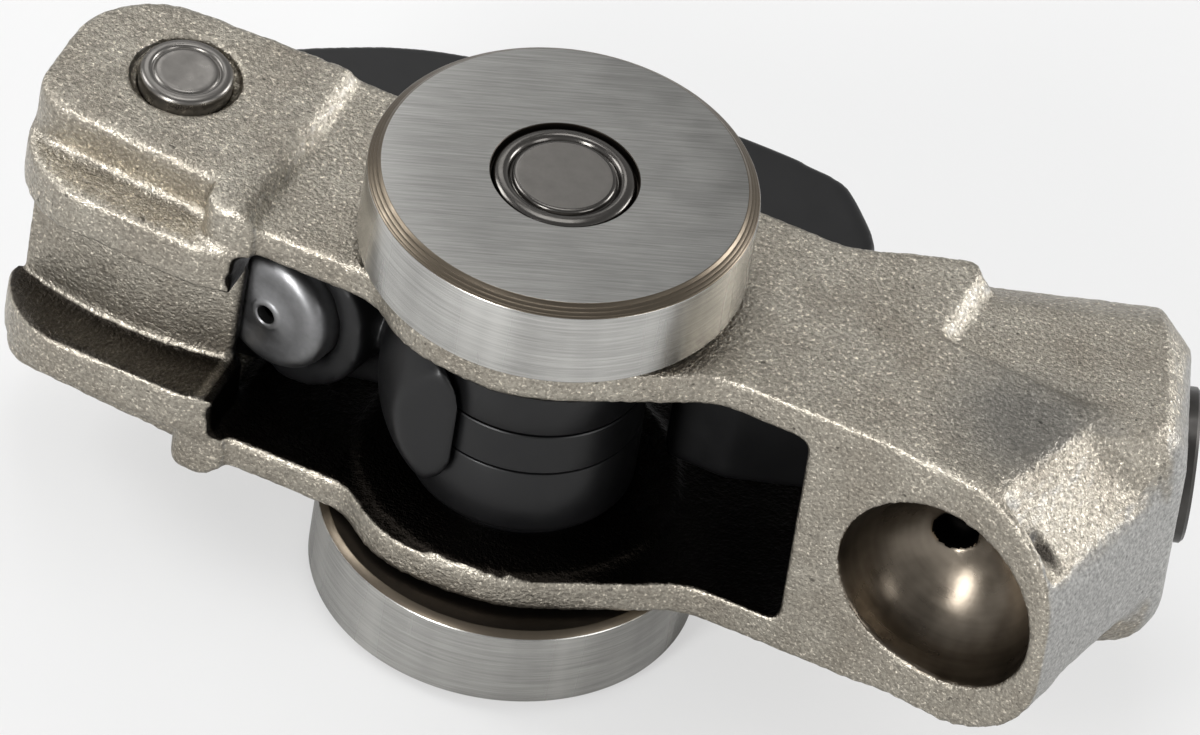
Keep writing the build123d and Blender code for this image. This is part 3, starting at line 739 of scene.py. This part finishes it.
class ROCKER_OT_arm(Operator):
    """Slider arm with rounded edges and a black coating"""

    bl_idname = "rocker.arm"
    bl_label = "Slider arm"

    def execute(self, context):
        sizes = context.scene.rocker_sizes
        mesh = skin_mesh("slider_arm", sizes.arm_cell)
        bm = bmesh.new()
        bm.from_mesh(mesh)
        smooth(bm, bm.verts, ARM_ROUNDING)
        for face in bm.faces:
            face.smooth = True
        keep_inside(bm)
        bm.to_mesh(mesh)
        bm.free()
        mesh = thinned(mesh, ARM_TRIANGLES)
        black = context.scene.rocker_colours.coating
        coating = plain_steel("black_coated_steel", black, 0.38, 1.2, 0.15, 0.0, 0.4)
        piece = new_piece("coated_slider_arm", mesh, "arm", "black_coating", coating)
        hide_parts("slider_arm")
        return {"FINISHED"}


class ROCKER_OT_rollers(Operator):
    """Ground rollers with turned chamfers"""

    bl_idname = "rocker.rollers"
    bl_label = "Rollers"

    def execute(self, context):
        sizes = context.scene.rocker_sizes
        colours = context.scene.rocker_colours
        light = Vector(colours.ground)
        # How far the grinding lines are drawn out, by axis, on the faces and on the rims
        across, round_rim = (260, 9500, 260), (200, 200, 9000)
        # The faces take the rims' ground colour times 0.66, painted shade on the same steel
        face = ground_steel("shaded_face_ground_steel", light * 0.66, across, sizes.lay_angle, 0.7, 0.33, 0.1)
        rim = ground_steel("cylinder_ground_steel", light, round_rim, 0, 0.3, 0.25, 0.7)
        # Painted shade: a dark steel for the bore, the recess about the staked end and the inner face against
        # the body
        dark = plain_steel("painted_shade_edge_steel", linear("3b3631"), 0.4, 0.6, 0.2)
        chamfer = plain_steel("turned_tinted_steel", colours.turned, 0.32, 1.0, 0.2)
        # Bore and the recess about the shaft's staked end, and the finishes by index; the bore, the recess
        # and the inner face take the painted shade
        bore, recess = 3.02, 3.22
        on_face, on_rim, on_chamfer, on_painted_shade = range(4)
        for name in ("roller_upper", "roller_lower"):
            low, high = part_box(name)
            out = max(abs(low.z), abs(high.z)) / MM
            inner = min(abs(low.z), abs(high.z)) / MM
            radius = high.x / MM
            profile = [(bore, inner), (radius - 1.5, inner), (radius - 0.34, inner)]
            profile += [(radius - 0.3, inner + 0.02), (radius - 0.03, inner + 0.26), (radius, inner + 0.3)]
            profile += [(radius, out - 0.5), (radius - 0.02, out - 0.45)]
            # Three turned lines on the chamfer
            for k in range(3):
                r, h = radius - 0.07 - 0.15 * k, out - 0.4 + 0.115 * k
                profile += [(r, h), (r - 0.045, h + 0.016), (r - 0.05, h + 0.045)]
            profile += round_corner((radius - 0.52, out - 0.03), (radius - 0.55, out), (radius - 0.6, out), 3)
            profile += [(5.5, out), (recess + 0.05, out), (recess + 0.02, out - 0.03)]
            profile += [(recess, out - 0.5), (bore, out - 0.5)]

            def tint(f, radius=radius, out=out, inner=inner):
                c = f.calc_center_median() / MM
                r = math.hypot(c.x, c.y)
                if abs(f.normal.z) > 0.95 and c.z > out - 0.02 and r < radius - 0.5:
                    return on_face
                if r < recess + 0.18 or (c.z < inner + 0.01 and f.normal.z < -0.9):
                    return on_painted_shade
                if r > radius - 0.03 and inner + 0.2 < c.z < out - 0.45:
                    return on_rim
                return on_chamfer

            mesh = turned_mesh("ground_" + name, profile, sizes.turned_steps, upright(high), tint)
            piece = new_piece("ground_" + name, mesh, "spool", "ground_steel", face, rim, chamfer, dark)
            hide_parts(name)
        return {"FINISHED"}


class ROCKER_OT_shaft(Operator):
    """Cross shaft with its staked ends"""

    bl_idname = "rocker.shaft"
    bl_label = "Cross shaft"

    def execute(self, context):
        sizes = context.scene.rocker_sizes
        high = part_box("roller_shaft")[1]
        out, radius = high.z / MM, high.x / MM
        end = [(0, out - 0.03), (1.0, out - 0.03), (1.9, out - 0.03)]
        end += round_corner((2.06, out - 0.03), (2.2, out - 0.02), (2.26, out - 0.14), 4)
        end += round_corner((2.28, out - 0.26), (2.32, out - 0.3), (2.38, out - 0.24), 3)
        end += round_corner((2.44, out - 0.12), (2.58, out + 0.02), (2.78, out - 0.03), 5)
        end += round_corner((2.9, out - 0.06), (3.14, out - 0.15), (3.16, out - 0.47), 6)
        end += [(radius, out - 0.5)]
        profile = end + [(r, -h) for r, h in reversed(end)]

        def tint(f):
            c = f.calc_center_median() / MM
            return 0 if math.hypot(c.x, c.y) < 2.08 and abs(f.normal.z) > 0.8 else 1

        mesh = turned_mesh("staked_shaft", profile, sizes.turned_steps, None, tint)
        steel = Vector(context.scene.rocker_colours.pin)
        disc = plain_steel("staked_pin_steel", steel, 0.33, 0.8, 0.25)
        ring = plain_steel("upset_ring_steel", steel * 0.62, 0.22, 0.9, 0.35)
        piece = new_piece("staked_shaft", mesh, "spool", "pin_steel", disc, ring)
        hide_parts("roller_shaft")
        return {"FINISHED"}


class ROCKER_OT_hinge(Operator):
    """Hinge pin with its staked ends"""

    bl_idname = "rocker.hinge"
    bl_label = "Hinge pin"

    def execute(self, context):
        sizes = context.scene.rocker_sizes
        low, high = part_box("hinge_pin")
        out, radius = high.z / MM, (high.x - low.x) / 2 / MM
        end = [(0, out - 0.06), (1.1, out - 0.05)]
        end += round_corner((1.28, out - 0.04), (1.38, out - 0.05), (1.44, out - 0.12), 3)
        end += round_corner((1.5, out - 0.12), (1.54, out), (1.66, out), 3)
        end += round_corner((1.72, out), (radius - 0.02, out), (radius, out - 0.26), 5)
        profile = end + [(r, -h) for r, h in reversed(end)]
        place = Matrix.Translation(((low.x + high.x) / 2, (low.y + high.y) / 2, 0))
        mesh = turned_mesh("staked_hinge_pin", profile, sizes.turned_steps, place)
        steel = plain_steel("polished_pin_steel", context.scene.rocker_colours.pin, 0.3, 0.7, 0.2)
        piece = new_piece("staked_hinge_pin", mesh, "body", "pin_steel", steel)
        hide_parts("hinge_pin")
        return {"FINISHED"}


class ROCKER_OT_hub(Operator):
    """Black bearing rings and the spacer between them"""

    bl_idname = "rocker.hub"
    bl_label = "Hub"

    def execute(self, context):
        sizes = context.scene.rocker_sizes
        colour = context.scene.rocker_colours.coating
        black = plain_steel("black_oxide_steel", colour, 0.34, 0.9, 0.15, 0.0, 0.4)
        # The rings' bore, and the narrow collar that each has from this level outwards
        bore, collar, level = 4.04, 4.5, 4.75
        for name in ("bearing_ring_upper", "bearing_ring_lower"):
            low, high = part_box(name)
            near = min(abs(low.z), abs(high.z)) / MM
            far = max(abs(low.z), abs(high.z)) / MM
            radius = high.x / MM
            profile = [(bore, near), (radius - 0.12, near), (radius - 0.04, near + 0.04)]
            profile += [(radius, near + 0.12)]
            profile += round_corner((radius, 4.35), (radius, level - 0.02), (radius - 0.38, level - 0.01), 4)
            profile += [(collar, level), (collar, far), (bore, far)]
            mesh = turned_mesh("black_" + name, profile, sizes.turned_steps, upright(high))
            piece = new_piece("black_" + name, mesh, "body", "black_bearing", black)
            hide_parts(name)
        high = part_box("hub_spacer")[1]
        radius, half = high.x / MM, high.z / MM
        rim = half - 0.08
        up = [(3.3, half), (radius - 0.35, half), (radius - 0.35, rim), (radius - 0.04, rim)]
        up += [(radius, rim - 0.05)]
        profile = up + [(r, -h) for r, h in reversed(up)]
        mesh = turned_mesh("black_hub_spacer", profile, sizes.turned_steps)
        piece = new_piece("black_hub_spacer", mesh, "body", "black_bearing", black)
        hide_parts("hub_spacer")
        return {"FINISHED"}


class ROCKER_OT_cup(Operator):
    """Drawn spring cup with its vent"""

    bl_idname = "rocker.cup"
    bl_label = "Spring cup"

    def execute(self, context):
        sizes = context.scene.rocker_sizes
        lean = math.radians(12.8)
        foot = Vector((-11.52, -2.74, 0))
        radius, wall, length = 2.97, 0.45, 5.2
        # The vent's rolled lip comes first
        profile = [(0.46, wall), (0.46, -0.04), (0.52, -0.09), (0.66, -0.1), (0.76, -0.05), (0.86, 0.0)]
        profile += [(1.7, 0.0)]
        profile += round_corner((2.1, 0.0), (radius, 0.0), (radius, 0.9), 8)
        profile += [(radius, length - 0.05), (radius - 0.05, length), (radius - wall, length)]
        profile += [(radius - wall, 0.9)]
        profile += round_corner((radius - wall, 0.85), (radius - wall, wall), (2.0, wall), 4)
        along = Vector((math.sin(lean), math.cos(lean), 0))
        turn = along.to_track_quat("Z", "X").to_matrix().to_4x4()
        place = Matrix.Translation(foot * MM) @ turn
        mesh = turned_mesh("drawn_spring_cup", profile, sizes.turned_steps, place)
        steel = plain_steel("drawn_tumbled_steel", context.scene.rocker_colours.cup, 0.38, 0.5, 0.5)
        piece = new_piece("drawn_spring_cup", mesh, "cup", "drawn_steel", steel)
        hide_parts("spring_cup")
        return {"FINISHED"}


class ROCKER_OT_small_parts(Operator):
    """Springs, needles, washers and the latch, which keep their CAD shapes"""

    bl_idname = "rocker.small_parts"
    bl_label = "Small parts"

    def execute(self, context):
        wire = plain_steel("oiled_spring_wire", linear("77787a"), 0.3, 0.4, 0.1)
        for name in ("lost_motion_spring", "latch_spring"):
            dress(name, wire)
        needle = plain_steel("ground_needle_steel", linear("b5b5b5"), 0.2, 0.5, 0.05)
        for name in ("needles_upper", "needles_lower"):
            dress(name, needle)
        washer = plain_steel("dark_washer_steel", linear("4a453f"), 0.4, 0.6, 0.2)
        for name in ("thrust_washer_upper", "thrust_washer_lower"):
            dress(name, washer)
        dress("latch_pin", plain_steel("hardened_latch_steel", linear("7d7a76"), 0.28, 0.6, 0.1))
        dress("latch_plug", plain_steel("blued_plug_steel", linear("565452"), 0.36, 0.7, 0.2))
        return {"FINISHED"}


def light_paths(tree, light, camera):
    """One shader for the light that falls about and another for what the camera sees."""
    to_camera = add_node(tree, "ShaderNodeLightPath").outputs["Is Camera Ray"]
    return add_node(tree, "ShaderNodeMixShader", {0: to_camera, 1: light, 2: camera}).outputs[0]


def pale_paper():
    """Matt paper that the camera sees a little brighter than it is, as in a cut-out photograph."""
    material = bpy.data.materials.new("pale_floor")
    material.use_nodes = True
    tree = material.node_tree
    tree.nodes.clear()
    paper = add_node(tree, "ShaderNodeBsdfDiffuse", {"Color": (*linear("d8d8d8"), 1)})
    seen = add_node(tree, "ShaderNodeBsdfDiffuse", {"Color": (*linear("a4a4a4"), 1)})
    glow = add_node(tree, "ShaderNodeEmission", {"Color": (*linear("ffffff"), 1), "Strength": 0.5})
    both = add_node(tree, "ShaderNodeAddShader", {0: seen.outputs[0], 1: glow.outputs[0]})
    surface = light_paths(tree, paper.outputs[0], both.outputs[0])
    add_node(tree, "ShaderNodeOutputMaterial", {"Surface": surface})
    return material


def lay_floor(scene):
    """A wide floor just under the lower roller."""
    bm = bmesh.new()
    bmesh.ops.create_grid(bm, x_segments=1, y_segments=1, size=FLOOR_HALF)
    bmesh.ops.translate(bm, verts=bm.verts, vec=(0, 0, CAD_BOX[0].z - FLOOR_GAP))
    mesh = bpy.data.meshes.new("floor")
    bm.to_mesh(mesh)
    bm.free()
    mesh.materials.append(pale_paper())
    floor = bpy.data.objects.new("floor", mesh)
    scene.collection.objects.link(floor)


def studio_world(scene):
    """A room that is paler at its walls than overhead, and white behind the part."""
    world = bpy.data.worlds.new("studio")
    world.use_nodes = True
    tree = world.node_tree
    tree.nodes.clear()
    way = add_node(tree, "ShaderNodeTexCoord").outputs["Generated"]
    rise = add_node(tree, "ShaderNodeSeparateXYZ", {0: way}).outputs["Z"]
    level = spread(tree, rise, 0.0, 0.9, 0.6, 0.28)
    white = (1, 1, 1, 1)
    room = add_node(tree, "ShaderNodeBackground", {"Color": white, "Strength": level})
    behind = add_node(tree, "ShaderNodeBackground", {"Color": white, "Strength": 1.0})
    surface = light_paths(tree, room.outputs[0], behind.outputs[0])
    add_node(tree, "ShaderNodeOutputWorld", {"Surface": surface})
    scene.world = world


def hang_softboxes(scene):
    """The lamps, each turned to the part."""
    for name, place, size, power in SOFTBOXES:
        lamp = bpy.data.lights.new(name, "AREA")
        lamp.shape = "RECTANGLE"
        lamp.size, lamp.size_y = size
        lamp.energy = power
        holder = bpy.data.objects.new(name, lamp)
        holder.location = place
        holder.rotation_euler = Vector(place).to_track_quat("Z", "Y").to_euler()
        scene.collection.objects.link(holder)


def photo_camera(scene):
    """The camera of the photograph: far off, with a long lens."""
    camera = bpy.data.cameras.new("photo_camera")
    camera.lens = CAMERA_LENS
    camera.sensor_width = CAMERA_SENSOR
    camera.clip_start = 0.05
    camera.clip_end = 20
    holder = bpy.data.objects.new("photo_camera", camera)
    back = Vector(CAMERA_BACK).normalized()
    up = back.cross(Vector(CAMERA_RIGHT)).normalized()
    turn = Matrix((up.cross(back), up, back)).transposed()
    holder.matrix_world = Matrix.Translation(CAMERA_PLACE) @ turn.to_4x4()
    scene.collection.objects.link(holder)
    scene.camera = holder


class ROCKER_OT_stage(Operator):
    """Pale floor, soft studio light and the camera"""

    bl_idname = "rocker.stage"
    bl_label = "Stage"

    def execute(self, context):
        scene = context.scene
        scene.view_settings.view_transform = "Standard"
        lay_floor(scene)
        studio_world(scene)
        hang_softboxes(scene)
        photo_camera(scene)
        return {"FINISHED"}


STEPS = (
    ROCKER_OT_casting,
    ROCKER_OT_arm,
    ROCKER_OT_rollers,
    ROCKER_OT_shaft,
    ROCKER_OT_hinge,
    ROCKER_OT_hub,
    ROCKER_OT_cup,
    ROCKER_OT_small_parts,
    ROCKER_OT_stage,
)


class ROCKER_PT_panel(Panel):
    """Sizes, colours and pieces of the rocker arm"""

    bl_idname = "ROCKER_PT_panel"
    bl_label = "Rocker arm"
    bl_space_type = "VIEW_3D"
    bl_region_type = "UI"
    bl_category = "Rocker"

    def draw(self, context):
        for group in (context.scene.rocker_sizes, context.scene.rocker_colours):
            for name in group.__annotations__:
                self.layout.prop(group, name)
        for step in STEPS:
            self.layout.operator(step.bl_idname)


CLASSES = (RockerSizes, RockerColours, *STEPS, ROCKER_PT_panel)


def register():
    for cls in CLASSES:
        bpy.utils.register_class(cls)
    bpy.types.Scene.rocker_sizes = PointerProperty(type=RockerSizes)
    bpy.types.Scene.rocker_colours = PointerProperty(type=RockerColours)


def unregister():
    del bpy.types.Scene.rocker_colours
    del bpy.types.Scene.rocker_sizes
    for cls in reversed(CLASSES):
        bpy.utils.unregister_class(cls)


def main():
    register()
    for step in STEPS:
        group, name = step.bl_idname.split(".")
        getattr(getattr(bpy.ops, group), name)()


if __name__ == "__main__":
    main()
